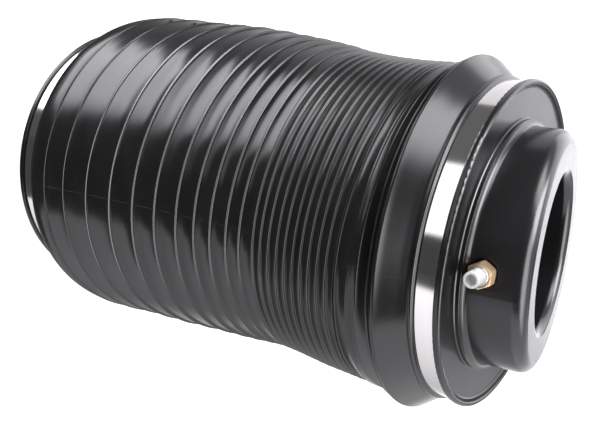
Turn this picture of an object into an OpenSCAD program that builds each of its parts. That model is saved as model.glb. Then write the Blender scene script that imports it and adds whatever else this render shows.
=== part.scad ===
// Air suspension spring: a rolling sleeve between a top cap and a piston, inside a convoluted dust boot.
// The axis stands along +Z, the base rests on z = 0 and the air fitting points along +X.

/* [Overall] */
// Height of the flange face above the base, as stored
rest_height = 277; // [268:1:292]
// Radius of the seats for the two cuffs of the boot, which the other radii of cap, boot and sleeve follow
seat_r = 78; // [72:0.1:90]
// Gap left between pieces that are pressed or seated together
fit_gap = 0.05; // [0.02:0.01:0.1]

/* [Top cap] */
// Distance by which the flange stands out beyond the boot's seat
flange_over = 5.6; // [5:0.1:9]
// Thickness of the flange at its rim, below the face
flange_rim_t = 1.8; // [1.4:0.1:3]
// Height of the raised lip round the flange face
lip_h = 1.8; // [1:0.1:2.6]
// Width of the lip, from the flange edge to the foot of its inner slope
lip_w = 4.4; // [3.6:0.1:6]
// Thickness of the plate under the flange face
plate_t = 5; // [4:0.5:8]
// Distance by which the low plinth stands out beyond the boss
plinth_over = 3.5; // [2.8:0.1:6]
// Height of the plinth above the flange face
plinth_h = 2.3; // [1.2:0.1:4]
// Distance from the boot's seat in to the wall of the boss
boss_inset = 17.1; // [16:0.1:20]
// Length of the boss along its own axis, from the flange face
boss_h = 23.3; // [20:0.1:30]
// Angle that the boss leans away from the spring axis
boss_tilt = 7.2; // [0:0.1:9]
// Direction of the high side of the boss, measured from the fitting
boss_turn = 10; // [-30:1:30]
// Radius of the rounded rim of the boss
boss_edge_r = 6.3; // [3:0.1:9]
// Radius of the fillet between plinth and boss
boss_fillet_r = 3.2; // [1.5:0.1:3.4]
// Radius of the locating recess in the boss
recess_r = 38.5; // [34:0.1:42]
// Depth of the locating recess
recess_depth = 26; // [18:0.5:28]
// Radius of the rounded mouth of the recess
recess_edge_r = 1.2; // [0.5:0.1:3]
// Wall round the recess and inside the boss
cap_wall = 4; // [3:0.5:5]
// Number of ribs inside the boss
cap_ribs = 7; // [3:1:9]
// Distance from the boot's seat in to the neck that the sleeve is crimped on
neck_inset = 14.1; // [12.5:0.1:17]
// Length of the neck below the plate
cap_neck_h = 31; // [26:0.5:38]
// Radius of the pad that the bump stop strikes
strike_pad_r = 26; // [20:1:32]
// Depth of the strike pad below the plate
strike_pad_h = 7; // [4:0.5:10]

/* [Dust boot] */
// Thickness of the boot at its cuffs
cuff_t = 3.1; // [2.4:0.1:3.6]
// Wall of the boot along its folds
boot_wall = 1.2; // [0.9:0.1:1.4]
// Number of folds between the shoulder and the collar
folds = 22; // [16:1:24]
// Pitch of the first fold above the shoulder
first_pitch = 16.2; // [12:0.1:19]
// Pitch of the fine folds
fine_pitch = 4.9; // [4.6:0.1:5.4]
// Fold at which the wide folds turn into fine ones
change_fold = 7.5; // [5:0.1:9]
// Number of folds over which the pitch changes
change_soft = 1.6; // [0.8:0.1:3]
// Depth of the first fold, which is stretched almost flat
stretched_depth = 3.4; // [2:0.1:4.5]
// Depth that each further fold gains
depth_gain = 0.36; // [0.1:0.02:0.5]
// Depth of a closed fold as a share of its pitch
fold_ratio = 0.86; // [0.5:0.02:1]
// Width of the flat land along each crest
crest_land_w = 1.25; // [0.8:0.05:1.8]
// Distance from the boot's seat out to the crest at the shoulder
shoulder_over = 16.6; // [14:0.1:19]
// Distance from the boot's seat out to the crest at the belly
belly_over = 17.2; // [15:0.1:20]
// Distance from the boot's seat out to the crest where the folds start to close
knee_over = 11.2; // [9.5:0.1:14]
// Distance from the boot's seat out to the crest at the waist
waist_over = 8.1; // [7.5:0.1:11]
// Distance from the boot's seat out to the last fine crest
upper_over = 9.4; // [8:0.1:11]
// Height of the first crest above the lower ridge
shoulder_h = 21.6; // [16:0.2:26]
// Distance by which the ridge of the upper band stands out beyond the seat
ridge_over = 5.9; // [5:0.1:7]
// Distance by which the ridge of the lower band stands out beyond the seat
lower_ridge_over = 5.2; // [4.8:0.1:7]
// Height of the two band ridges
ridge_h = 2.4; // [1.8:0.1:3]
// Distance from the boot's seat out to the crest of the collar
collar_over = 14.8; // [12:0.1:17]
// Length of the collar, from its crest to the ridge
collar_h = 12.4; // [10:0.2:15]
// Distance from the boot's seat out to the crest of the lip under the collar
lip_fold_over = 13; // [11.5:0.1:14]
// Distance from the boot's seat out to the crest of the broad fold
broad_fold_over = 10.3; // [9:0.1:12]
// Width of the broad fold
broad_fold_w = 5; // [3:0.5:6]

/* [Boot bands] */
// Width of the bands
band_w = 8.9; // [7:0.1:10]
// Thickness of the bands
band_t = 0.8; // [0.5:0.1:1.2]
// Gap between a band and what stands beside it
band_side_gap = 0.15; // [0.05:0.05:0.4]

/* [Air sleeve] */
// Distance from the boot's seat in to the filled sleeve
sleeve_inset = 7; // [6:0.5:9]
// Thickness of the sleeve
sleeve_t = 2.5; // [1.8:0.1:3]
// Height of the rolling lobe above the base plate
lobe_rise = 76; // [66:1:84]
// Width of the crimp rings
crimp_w = 14; // [10:0.5:16]
// Thickness of the crimp rings
crimp_t = 2; // [1.4:0.1:3]

/* [Piston] */
// Radius of the surface that the sleeve rolls on
piston_r = 50; // [47:0.5:53]
// Length of the rolling piston
piston_h = 108; // [100:1:116]
// Wall of the rolling piston
piston_wall = 4; // [3:0.5:5]
// Radius of the flared foot of the rolling piston
piston_foot_r = 56; // [54:0.5:60]
// Height of the flared foot
piston_foot_h = 26; // [16:1:34]
// Radius of the neck that the sleeve's lower end is crimped on
head_neck_r = 46; // [44:0.5:47]
// Height of the neck above the shoulder of the piston head
head_neck_h = 26; // [24:0.5:28]
// Height of the shoulder of the piston head
head_shoulder_h = 4; // [3:0.5:6]
// Thickness of the plate of the piston head
head_plate_t = 5; // [4:0.5:7]
// Depth of the spigots that enter the rolling piston
spigot_h = 10; // [8:0.5:12]
// Wall of the spigots
spigot_wall = 4; // [3.5:0.5:5]
// Number of air holes through the piston head
air_holes = 6; // [3:1:8]
// Radius of the air holes
air_hole_r = 4; // [3:0.5:5]
// Thickness of the seal rings in the piston
seal_t = 2.6; // [2:0.1:3]

/* [Bump stop] */
// Height of the bump stop
bump_h = 56; // [48:1:60]
// Largest radius of the bump stop
bump_r = 24; // [21:0.5:25]
// Radius of the top of the bump stop
bump_top_r = 14; // [12:0.5:18]
// Number of waists of the bump stop
bump_waists = 3; // [2:1:4]
// Depth of the waists
bump_waist_d = 3; // [1.5:0.5:4]
// Thickness of the cup under the bump stop
cup_t = 2; // [1.5:0.1:3]
// Height of the rim of the cup
cup_rim_h = 7; // [5:0.5:10]

/* [Base] */
// Distance by which the base rim stands out beyond the boot's seat
base_over = 5; // [4.5:0.1:9]
// Height of the base rim
base_rim_h = 3.5; // [3:0.1:5]
// Height of the base plate
base_h = 14; // [13.5:0.5:18]
// Thickness of the plate over the ribs
base_plate_t = 5; // [4:0.5:7]
// Thickness of the ribs under the base
rib_t = 3; // [2:0.5:4]
// Number of ribs under the base
base_ribs = 12; // [6:1:16]
// Radius of the mounting insert
insert_r = 9.5; // [8.5:0.5:12]
// Height of the mounting insert
insert_h = 30; // [27:1:34]
// Core radius of the thread for the mounting bolt
mount_thread_r = 5.1; // [4:0.1:6]
// Depth of the thread for the mounting bolt
mount_thread_h = 18; // [14:0.5:19]
// Radius of the locating hole
locating_r = 5.1; // [4:0.1:6]
// Depth of the locating hole
locating_h = 10; // [8:0.5:11]
// Distance of the locating hole from the axis
locating_x = 34; // [33:0.5:35]
// Radius of the tie bolt
tie_bolt_r = 5; // [4:0.1:6]

/* [Air fitting] */
// Height of the fitting above the flange face
port_rise = 10.5; // [9.5:0.1:12]
// Depth of the fitting's seat inside the wall of the boss
port_inset = 1.7; // [1.2:0.1:2.4]
// Width of the hexagon across its flats
hex_w = 11; // [10.4:0.1:12]
// Length of the hexagon
hex_l = 6; // [5.4:0.1:7]
// Radius of the threaded shank
shank_r = 5; // [4.6:0.1:5.4]
// Length of the threaded shank
shank_l = 9; // [8.5:0.5:10]
// Radius of the bore for the air line
line_r = 3.05; // [2.8:0.05:3.1]
// Outer radius of the plug's tube
plug_r = 3.7; // [3.3:0.1:4]
// Length of the plug's tube outside the fitting
plug_l = 8.4; // [6:0.1:12]
// Radius of the plug's blind bore
plug_bore_r = 2.55; // [1.8:0.05:2.7]
// Depth of the plug's blind bore
plug_bore_l = 6; // [3:0.5:8]
// Radius of the valve chamber
valve_r = 2.8; // [2.6:0.1:3.2]
// Opening stroke of the valve
valve_stroke = 1.2; // [0.8:0.1:1.3]
// Wire radius of the valve spring
spring_wire_r = 0.25; // [0.2:0.05:0.3]
// Number of turns of the valve spring
spring_turns = 3; // [2:0.5:3]

/* [Hidden] */
$fn = 128;
// Distance by which cutting bodies pass the faces they cut
over = 1;

// Radii that follow the seat of the boot
flange_r = seat_r + flange_over;
base_r = seat_r + base_over;
boss_r = seat_r - boss_inset;
plinth_r = boss_r + plinth_over;
cap_neck_r = seat_r - neck_inset;
sleeve_r = seat_r - sleeve_inset;
port_seat_x = boss_r - port_inset;

// Colours
moulding = [0.07, 0.07, 0.075];
rubber = [0.05, 0.05, 0.055];
steel = [0.74, 0.74, 0.75];
alloy = [0.66, 0.67, 0.69];
brass = [0.78, 0.62, 0.34];
foam = [0.86, 0.82, 0.62];
white = [0.93, 0.93, 0.94];

// Levels of the top cap
flange_under_z = rest_height - flange_rim_t;
plate_under_z = rest_height - plate_t;
neck_end_z = plate_under_z - cap_neck_h;
skirt_end_z = flange_under_z - band_side_gap - band_w - ridge_h - 1.5;

// Length of the boss below the flange face, before it is cut level
boss_root = 16;

// Levels of the bands and of the cuffs under them
cuff_r = seat_r + fit_gap + cuff_t;
band_in_r = cuff_r + fit_gap;
upper_band_z = flange_under_z - band_side_gap - band_w;
lower_band_z = base_rim_h + band_side_gap;

// Levels and sizes of the piston
piston_bore_r = piston_r - piston_wall;
spigot_r = piston_bore_r - fit_gap;
piston_top_z = base_h + piston_h;
head_shoulder_z = piston_top_z + fit_gap + head_shoulder_h;
head_top_z = head_shoulder_z + head_neck_h;
groove_floor_r = spigot_r - seal_t + 2 * fit_gap;
groove_w = seal_t + 6 * fit_gap;
cup_z = head_top_z + fit_gap;
bump_z = cup_z + cup_t + fit_gap;

// Sizes of the sleeve
sleeve_top_r = cap_neck_r + 2 * fit_gap;
sleeve_roll_r = piston_r + 6 * fit_gap;
sleeve_low_r = head_neck_r + 2 * fit_gap;
lobe_r = (sleeve_r - sleeve_roll_r) / 2;
lobe_z = base_h + lobe_rise + lobe_r;
crimp_top_z = neck_end_z + 4;
crimp_low_z = head_top_z - 1.5 - crimp_w;

// Place of the fitting and lengths along it, measured outwards from its seat
port_z = rest_height + port_rise;
seal_seat = [0, 1.6];
chamber = [-7.5, -2.5];
chamber_out = -1.5;
collet_in = 2.3;
seal_recess = 1.4;
spot_r = 7.5;
port_boss_r = shank_r + 3;
retainer_t = 1;
poppet_t = 1;

function arc(centre, r, from, to, steps) =
    [for (k = [0 : steps]) let (a = from + (to - from) * k / steps) centre + r * [cos(a), sin(a)]];
function total(v, k = 0) = k < len(v) ? v[k] + total(v, k + 1) : 0;
function reversed(v) = [for (k = [len(v) - 1 : -1 : 0]) v[k]];
function smooth(t) = t * t * (3 - 2 * t);

// A ring of rectangular section with small chamfers
module ring(inner, outer, height, chamfer = 0.3)
{
    rotate_extrude()
        polygon([[inner, 0], [outer - chamfer, 0], [outer, chamfer], [outer, height - chamfer],
                 [outer - chamfer, height], [inner, height]]);
}

// A seal ring of round section
module torus(centre_r, section_r)
{
    rotate_extrude()
        translate([centre_r, 0])
            circle(r = section_r, $fn = 32);
}

// Puts a piece on the leaning axis of the boss
module on_boss()
{
    translate([0, 0, rest_height])
        rotate([0, 0, boss_turn])
            rotate([0, -boss_tilt, 0])
                children();
}

// Puts a piece on the axis of the fitting, with its seat at zero
module at_port(along = 0)
{
    translate([port_seat_x + along, 0, port_z])
        rotate([0, 90, 0])
            children();
}

// The boss reaches down past the plate on its high side, and is cut level with the plate's underside
module boss_outer()
{
    intersection() {
        on_boss()
            rotate_extrude() {
                translate([0, -boss_root])
                    square([boss_r, boss_root + boss_h - boss_edge_r]);
                square([boss_r - boss_edge_r, boss_h]);
                translate([boss_r - boss_edge_r, boss_h - boss_edge_r])
                    circle(r = boss_edge_r);
            }
        translate([0, 0, plate_under_z])
            cylinder(r = boss_r + 8, h = plate_t + boss_h + 12);
    }
}

// The mouth's round meets the face of the boss at a slight angle
module boss_recess()
{
    mouth = recess_r + recess_edge_r;
    round_z = boss_h - 0.96 * recess_edge_r;
    on_boss()
        rotate_extrude()
            difference() {
                polygon([[0, boss_h - recess_depth], [recess_r, boss_h - recess_depth], [recess_r, round_z],
                         [mouth, round_z], [mouth, boss_h + over], [0, boss_h + over]]);
                translate([mouth, round_z])
                    circle(r = recess_edge_r);
            }
}

// The hollow between the recess wall and the outer wall of the boss, open to the air chamber
module boss_hollow()
{
    inner = recess_r + cap_wall;
    outer = boss_r - cap_wall - 1;
    height = boss_h - cap_wall - 2;
    difference() {
        on_boss()
            difference() {
                rotate_extrude()
                    polygon([[inner, -boss_root], [outer, -boss_root], [outer, height - 2],
                             [outer - 2, height], [inner + 2, height], [inner, height - 2]]);
                for (k = [0 : cap_ribs - 1])
                    rotate([0, 0, 360 * (k + 0.5) / cap_ribs - boss_turn])
                        translate([inner - over, -rib_t / 2, -boss_root - over])
                            cube([outer - inner + 2 * over, rib_t, height + boss_root + 2 * over]);
            }
        at_port(-shank_l - 5.5)
            cylinder(r = port_boss_r, h = shank_l + 12);
    }
}

module top_cap()
{
    edge = 0.25;
    rim_round = 1;
    lip_round = 1.2;
    lip_round_z = rest_height + lip_h - lip_round;
    plinth_z = rest_height + plinth_h;
    // The fillet runs into the leaning wall, so it ends a little inside it
    fillet_r = plinth_r - boss_fillet_r - edge - 0.3;
    neck_in_r = cap_neck_r - cap_wall;
    barb = 0.4;
    passage_r = 1.6;
    inner_end = -shank_l - 2;
    color(moulding)
        difference() {
            union() {
                rotate_extrude() {
                    polygon(concat(
                        [[0, plate_under_z], [seat_r - cap_wall, plate_under_z],
                         [seat_r - cap_wall, skirt_end_z], [seat_r, skirt_end_z], [seat_r, flange_under_z],
                         [flange_r - rim_round, flange_under_z], [flange_r, flange_under_z + rim_round],
                         [flange_r, lip_round_z], [flange_r - lip_round, lip_round_z + lip_round / 2],
                         [flange_r - lip_w + 0.6, rest_height + 0.5], [flange_r - lip_w, rest_height],
                         [plinth_r + 0.5, rest_height], [plinth_r, rest_height + 0.4]],
                        arc([plinth_r - edge, plinth_z - edge], edge, 0, 90, 3),
                        reversed(arc([fillet_r + boss_fillet_r, plinth_z + boss_fillet_r], boss_fillet_r, 180, 270, 8)),
                        [[fillet_r - 2, plinth_z + boss_fillet_r], [0, plinth_z + boss_fillet_r - 1]]));
                    translate([flange_r - rim_round, flange_under_z + rim_round])
                        circle(r = rim_round);
                    translate([flange_r - lip_round, lip_round_z])
                        circle(r = lip_round);
                }
                boss_outer();
                translate([0, 0, neck_end_z])
                    rotate_extrude()
                        polygon(concat(
                            [[neck_in_r, 0], [cap_neck_r - 1, 0]],
                            [for (z = [2 : 5 : 17]) each
                                [[cap_neck_r - barb, z], [cap_neck_r - barb, z + 3.5], [cap_neck_r, z + 4.2]]],
                            [[cap_neck_r, cap_neck_h + over], [neck_in_r, cap_neck_h + over]]));
                on_boss()
                    translate([0, 0, boss_h - recess_depth - cap_wall])
                        cylinder(r = recess_r + cap_wall + 0.2, h = recess_depth);
                translate([0, 0, plate_under_z - strike_pad_h])
                    cylinder(r = strike_pad_r, h = strike_pad_h + over);
            }
            boss_recess();
            boss_hollow();
            at_port(-shank_l - fit_gap)
                cylinder(r = shank_r + fit_gap, h = shank_l + over);
            at_port()
                cylinder(r = spot_r, h = 12);
            at_port(-seal_recess)
                cylinder(r1 = shank_r + fit_gap, r2 = shank_r + fit_gap + 1.3 * seal_recess, h = seal_recess);
            at_port(inner_end)
                cylinder(r = passage_r, h = 3);
            translate([port_seat_x + inner_end, 0, port_z - port_boss_r - over])
                cylinder(r = passage_r, h = port_boss_r + over);
        }
}

module upper_boot_band()
{
    color(steel)
        translate([0, 0, upper_band_z])
            ring(band_in_r, band_in_r + band_t, band_w, 0.2);
}

module lower_boot_band()
{
    color(steel)
        translate([0, 0, lower_band_z])
            ring(band_in_r, band_in_r + band_t, band_w, 0.2);
}

// A crimped ring with shallow grooves pressed into it
module crimp_ring(inner)
{
    outer = inner + crimp_t;
    count = 3;
    step = crimp_w / count;
    rotate_extrude()
        polygon(concat(
            [[inner, 0]],
            [for (k = [0 : count - 1]) each
                [[outer - 0.5, k * step + 0.2], [outer, k * step + 1], [outer, (k + 1) * step - 1],
                 [outer - 0.5, (k + 1) * step - 0.2]]],
            [[inner, crimp_w]]));
}

module upper_crimp_ring()
{
    color(alloy)
        translate([0, 0, crimp_top_z])
            crimp_ring(sleeve_top_r + sleeve_t + fit_gap);
}

module lower_crimp_ring()
{
    color(alloy)
        translate([0, 0, crimp_low_z])
            crimp_ring(sleeve_low_r + sleeve_t + fit_gap);
}

// Outer side of the sleeve from its top end down, and inner side back up, as one closed section
module air_sleeve()
{
    top_z = plate_under_z - 2;
    swell_z = crimp_top_z - 1;
    swell_h = 16;
    roll_end_z = head_shoulder_z - 1;
    tuck_h = crimp_low_z - 0.5 - roll_end_z;
    end_z = head_top_z - 0.5;
    steps = 6;
    outer_top = [for (k = [0 : steps]) let (t = k / steps)
        [sleeve_top_r + sleeve_t + (sleeve_r - sleeve_top_r - sleeve_t) * smooth(t), swell_z - swell_h * t]];
    inner_top = [for (p = outer_top) [p[0] - sleeve_t, p[1]]];
    tuck = [for (k = [0 : steps]) let (t = k / steps)
        [sleeve_roll_r + (sleeve_low_r - sleeve_roll_r) * smooth(t), roll_end_z + tuck_h * t]];
    tuck_back = [for (p = reversed(tuck)) [p[0] + sleeve_t, p[1]]];
    centre = [sleeve_roll_r + lobe_r, lobe_z];
    color(rubber)
        rotate_extrude()
            polygon(concat(
                [[sleeve_top_r, top_z], [sleeve_top_r + sleeve_t, top_z]],
                outer_top,
                arc(centre, lobe_r, 0, -180, 16),
                tuck,
                [[sleeve_low_r, end_z], [sleeve_low_r + sleeve_t, end_z]],
                tuck_back,
                arc(centre, lobe_r - sleeve_t, -180, 0, 12),
                reversed(inner_top)));
}

// Levels of the ridges, and of the last folds under them
ridge_low_z = lower_band_z + band_w + band_side_gap;
first_crest_z = ridge_low_z + ridge_h / 2 + shoulder_h;
ridge_up_z = upper_band_z - band_side_gap - ridge_h;
collar_z = ridge_up_z - collar_h;
lip_fold_gap = 4.1;
lip_fold_z = collar_z - lip_fold_gap;
broad_fold_gap = 6.2;
broad_fold_z = lip_fold_z - broad_fold_gap - broad_fold_w;
last_fold_gap = 8.5;
last_crest_z = broad_fold_z - last_fold_gap;

// Heights of the crests: after the first fold the pitch falls smoothly from wide folds to fine ones
share = [for (k = [2 : folds - 1]) 1 / (1 + exp((k - change_fold) / change_soft))];
extra_pitch = (last_crest_z - first_crest_z - first_pitch - fine_pitch * (folds - 2)) / total(share);
pitches = concat([first_pitch], [for (s = share) fine_pitch + extra_pitch * s]);
crests = [for (k = 0, z = first_crest_z; k < folds; z = z + (k < folds - 1 ? pitches[k] : 0), k = k + 1) z];
crest_edge = 0.22;

function crest_r(k) =
    seat_r + lookup(k, [[0, shoulder_over], [1, belly_over], [4, (belly_over + knee_over) / 2 + 0.6],
                        [8, knee_over], [13, waist_over], [folds - 1, upper_over]]);
function fold_depth(k) = min(stretched_depth + depth_gain * k, fold_ratio * pitches[k]);
// Slope of a fold's sides at its crests, and the part of it that the edge of a crest takes away
function flank(k) = 4 * fold_depth(k) / (pitches[k] - crest_land_w);
function edge_drop(k) = crest_edge * flank(min(max(k, 0), folds - 2));
function low_edge(k) = [crest_r(k) - edge_drop(k - 1), crests[k] - crest_land_w / 2 - crest_edge];
function high_edge(k) = [crest_r(k) - edge_drop(k), crests[k] + crest_land_w / 2 + crest_edge];
// The flat land of a crest with its two broken edges
function crest(k) =
    [low_edge(k), [crest_r(k), crests[k] - crest_land_w / 2 + crest_edge],
     [crest_r(k), crests[k] + crest_land_w / 2 - crest_edge], high_edge(k)];
// A rounded valley between two points, without its ends
function valley(a, b, depth, steps) =
    [for (k = [1 : steps - 1]) let (t = k / steps) a + (b - a) * t - [depth * (1 - pow(2 * t - 1, 2)), 0]];
// Thickness of the wall measured towards the axis
function wall_in(k) = boot_wall * sqrt(1 + pow(2 * fold_depth(min(k, folds - 2)) / pitches[min(k, folds - 2)], 2));
function inside_crest(k) = [crest_r(k) - wall_in(k), crests[k]];

module dust_boot()
{
    cuff_end_z = base_rim_h + fit_gap;
    cuff_top_z = flange_under_z - fit_gap;
    rise = first_crest_z - ridge_low_z - ridge_h;
    inside_r = seat_r + fit_gap;
    skirt_clear_r = seat_r + 0.4;
    ridge_r = seat_r + ridge_over;
    lower_ridge_r = seat_r + lower_ridge_over;
    collar_r = seat_r + collar_over;
    lip_fold_r = seat_r + lip_fold_over;
    broad_fold_r = seat_r + broad_fold_over;
    // Angle that a folded edge turns to each side, and the radii of such edges
    fold_turn = 60;
    collar_round = 1.1;
    lip_fold_round = 0.6;
    broad_fold_round = 1.2;
    shoulder_reach = shoulder_over - lower_ridge_over + 1;
    shoulder_out = [for (a = [10 : 10 : 70])
        [lower_ridge_r - 1 + shoulder_reach * sin(a), first_crest_z - rise * cos(a)]];
    shoulder_in = [for (p = shoulder_out) [p[0] - 1.8 * boot_wall, p[1] + 0.6 * boot_wall]];
    folds_out = [for (k = [0 : folds - 1]) each concat(
        crest(k),
        k < folds - 1 ? valley(high_edge(k), low_edge(k + 1), fold_depth(k) - edge_drop(k), 6) : [])];
    folds_in = [for (k = [0 : folds - 1]) each concat(
        [inside_crest(k)],
        k < folds - 1 ? valley(inside_crest(k), inside_crest(k + 1), fold_depth(k), 4) : [])];
    deep = fold_depth(folds - 2);
    broad_foot = [broad_fold_r - broad_fold_round, broad_fold_z - broad_fold_round];
    valley_up_z = broad_fold_z + broad_fold_w + 0.55 * broad_fold_gap;
    collar_out = concat(
        valley(high_edge(folds - 1), broad_foot, deep - broad_fold_round, 4),
        arc([broad_fold_r - broad_fold_round, broad_fold_z], broad_fold_round, -fold_turn, 0, 3),
        arc([broad_fold_r - broad_fold_round, broad_fold_z + broad_fold_w], broad_fold_round, 0, fold_turn, 3),
        [[broad_fold_r - 0.8 * deep, valley_up_z], [broad_fold_r - 0.6 * deep, valley_up_z + 0.9]],
        arc([lip_fold_r - lip_fold_round, lip_fold_z], lip_fold_round, -fold_turn, fold_turn, 3),
        [[lip_fold_r - lip_fold_round - 0.8, lip_fold_z + 0.45 * lip_fold_gap]],
        arc([collar_r - collar_round, collar_z], collar_round, -fold_turn, fold_turn, 4),
        [[ridge_r + 0.62 * (collar_r - ridge_r), collar_z + 0.21 * collar_h],
         [ridge_r + 0.34 * (collar_r - ridge_r), collar_z + 0.48 * collar_h],
         [ridge_r + 0.13 * (collar_r - ridge_r), collar_z + 0.76 * collar_h], [ridge_r - 0.7, ridge_up_z - 0.3]],
        arc([ridge_r - ridge_h / 2, ridge_up_z + ridge_h / 2], ridge_h / 2, -45, fold_turn, 4),
        [[cuff_r, upper_band_z - band_side_gap / 2], [cuff_r, cuff_top_z]]);
    collar_in = [[inside_r, cuff_top_z], [inside_r, skirt_end_z - 0.4], [skirt_clear_r + 1.2, ridge_up_z - 2],
                 [collar_r - 3.2 * boot_wall - 3.6, collar_z + 0.5],
                 [lip_fold_r - 3.6 * boot_wall - 0.6, lip_fold_z - 0.4],
                 [broad_fold_r - 0.8 * deep - 1.8 * boot_wall, valley_up_z - 0.3],
                 [broad_fold_r - 2.4 * boot_wall, broad_fold_z + broad_fold_w - 0.6],
                 [broad_fold_r - 2.4 * boot_wall, broad_fold_z + 1],
                 [seat_r + upper_over - deep - 1.5 * boot_wall, (last_crest_z + broad_fold_z) / 2 + 0.4]];
    color(rubber)
        rotate_extrude()
            polygon(concat(
                [[inside_r, cuff_end_z], [cuff_r, cuff_end_z], [cuff_r, ridge_low_z - band_side_gap / 2]],
                arc([lower_ridge_r - ridge_h / 2, ridge_low_z + ridge_h / 2], ridge_h / 2, -fold_turn, fold_turn, 4),
                shoulder_out, folds_out, collar_out, collar_in, reversed(folds_in), reversed(shoulder_in),
                [[skirt_clear_r, base_h + 1.4], [inside_r, base_h + 0.6]]));
}

module piston_head()
{
    color(alloy)
        difference() {
            rotate_extrude()
                polygon([[0, head_top_z - head_plate_t], [head_neck_r - spigot_wall, head_top_z - head_plate_t],
                         [spigot_r - spigot_wall - 1.5, piston_top_z - spigot_h],
                         [spigot_r - 0.6, piston_top_z - spigot_h], [spigot_r, piston_top_z - spigot_h + 0.6],
                         [spigot_r, piston_top_z - spigot_h / 2 - groove_w / 2],
                         [groove_floor_r, piston_top_z - spigot_h / 2 - groove_w / 2],
                         [groove_floor_r, piston_top_z - spigot_h / 2 + groove_w / 2],
                         [spigot_r, piston_top_z - spigot_h / 2 + groove_w / 2],
                         [spigot_r, piston_top_z + fit_gap], [piston_r - 0.3, piston_top_z + fit_gap],
                         [piston_r - 0.3, head_shoulder_z - 0.6], [head_neck_r, head_shoulder_z + 6.5],
                         [head_neck_r, head_top_z - 0.6], [head_neck_r - 0.6, head_top_z], [0, head_top_z]]);
            for (k = [0 : air_holes - 1])
                rotate([0, 0, 360 * (k + 0.5) / air_holes])
                    translate([(bump_r + cup_t + head_neck_r - spigot_wall) / 2 + 1, 0, head_top_z - head_plate_t - over])
                        cylinder(r = air_hole_r, h = head_plate_t + 2 * over);
            translate([0, 0, head_top_z - head_plate_t - over])
                cylinder(r = tie_bolt_r + fit_gap, h = head_plate_t + 2 * over);
        }
}

module head_seal()
{
    color(rubber)
        translate([0, 0, piston_top_z - spigot_h / 2])
            torus((groove_floor_r + piston_bore_r) / 2, (piston_bore_r - groove_floor_r) / 2 - fit_gap / 2);
}

module rolling_piston()
{
    steps = 8;
    flare = [for (k = [0 : steps]) let (t = k / steps)
        [piston_foot_r + (piston_r - piston_foot_r) * smooth(t), base_h + fit_gap + 3 + (piston_foot_h - 3) * t]];
    color(moulding)
        rotate_extrude()
            polygon(concat(
                [[piston_bore_r, base_h + fit_gap], [piston_foot_r - 0.8, base_h + fit_gap],
                 [piston_foot_r, base_h + fit_gap + 0.8]],
                flare,
                [[piston_r, piston_top_z - 0.8], [piston_r - 0.8, piston_top_z], [piston_bore_r, piston_top_z]]));
}

module base_seal()
{
    color(rubber)
        translate([0, 0, base_h + spigot_h / 2])
            torus((groove_floor_r + piston_bore_r) / 2, (piston_bore_r - groove_floor_r) / 2 - fit_gap / 2);
}

module base_plate()
{
    under_z = base_h - base_plate_t;
    hub_r = insert_r + 5;
    middle_r = piston_r - 2;
    outer_wall_r = seat_r - 5;
    color(moulding)
        difference() {
            rotate_extrude()
                polygon(concat(
                    [[0, 0]],
                    arc([base_r - 0.8, 0.8], 0.8, -90, 0, 3),
                    arc([base_r - 0.8, base_rim_h - 0.8], 0.8, 0, 90, 3),
                    [[seat_r, base_rim_h], [seat_r, base_h - 0.6], [seat_r - 0.6, base_h], [spigot_r, base_h],
                     [spigot_r, base_h + spigot_h / 2 - groove_w / 2],
                     [groove_floor_r, base_h + spigot_h / 2 - groove_w / 2],
                     [groove_floor_r, base_h + spigot_h / 2 + groove_w / 2],
                     [spigot_r, base_h + spigot_h / 2 + groove_w / 2],
                     [spigot_r, base_h + spigot_h - 0.6], [spigot_r - 0.6, base_h + spigot_h],
                     [spigot_r - spigot_wall - 1, base_h + spigot_h], [spigot_r - spigot_wall - 1.5, base_h],
                     [hub_r + 3, base_h], [hub_r, base_h + 4], [hub_r, insert_h], [0, insert_h]]));
            difference() {
                translate([0, 0, -over])
                    difference() {
                        cylinder(r = outer_wall_r, h = under_z + over);
                        cylinder(r = hub_r, h = under_z + 2 * over);
                        difference() {
                            cylinder(r = middle_r + rib_t, h = under_z + 2 * over);
                            translate([0, 0, -over])
                                cylinder(r = middle_r, h = under_z + 4 * over);
                        }
                    }
                for (k = [0 : base_ribs - 1])
                    rotate([0, 0, 360 * k / base_ribs])
                        translate([0, -rib_t / 2, -2 * over])
                            cube([outer_wall_r + over, rib_t, base_h]);
                translate([-locating_x, 0, -2 * over])
                    cylinder(r = locating_r + 3, h = base_h);
            }
            translate([0, 0, -over])
                cylinder(r = insert_r + fit_gap, h = insert_h + 2 * over);
            translate([-locating_x, 0, -over])
                cylinder(r = locating_r, h = locating_h + over);
        }
}

module mounting_insert()
{
    color(steel)
        difference() {
            rotate_extrude()
                polygon([[0, 0], [insert_r - 0.4, 0], [insert_r, 0.4], [insert_r, 6], [insert_r - 0.8, 7],
                         [insert_r - 0.8, 10], [insert_r, 11], [insert_r, insert_h - 11], [insert_r - 0.8, insert_h - 10],
                         [insert_r - 0.8, insert_h - 7], [insert_r, insert_h - 6], [insert_r, insert_h - 0.4],
                         [insert_r - 0.4, insert_h], [0, insert_h]]);
            translate([0, 0, -over])
                cylinder(r = mount_thread_r, h = mount_thread_h + over);
            translate([0, 0, mount_thread_h + 2])
                cylinder(r = tie_bolt_r + fit_gap, h = insert_h);
        }
}

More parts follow.
